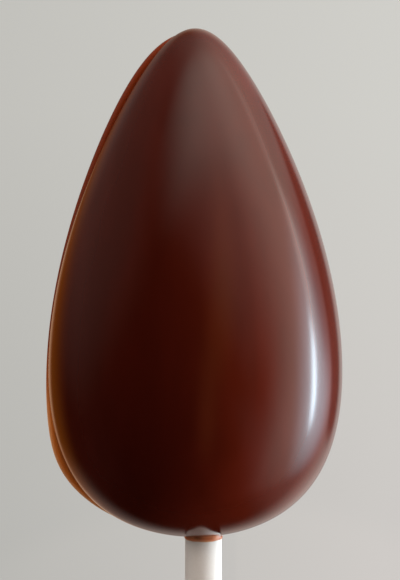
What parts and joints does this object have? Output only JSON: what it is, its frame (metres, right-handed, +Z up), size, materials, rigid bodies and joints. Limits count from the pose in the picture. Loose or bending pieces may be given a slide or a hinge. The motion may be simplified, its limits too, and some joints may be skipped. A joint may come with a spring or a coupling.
{
  "type": "chocolate lollipop",
  "caption": "Glossy dark chocolate lollipop: a solid egg-shaped head of two moulded halves, joined a little out of line, on a round white stick; it lies on its back.",
  "frame": {"origin": "centre of the small flat spot under the head, on the floor that the lollipop lies on", "axes": "+Y along the stick towards the head's pointed end, +Z up through the front moulding"},
  "size_m": [0.0324, 0.1395, 0.0317],
  "materials": {
    "chocolate": "glossy tempered dark chocolate",
    "paper_stick": "smooth white rolled paper",
    "thin_chocolate": "thin run-out chocolate film"
  },
  "bodies": {
    "root": {"head_front": "chocolate", "head_back": "chocolate", "stick": "paper_stick", "stick_collar": "thin_chocolate"}
  },
  "joints": []
}
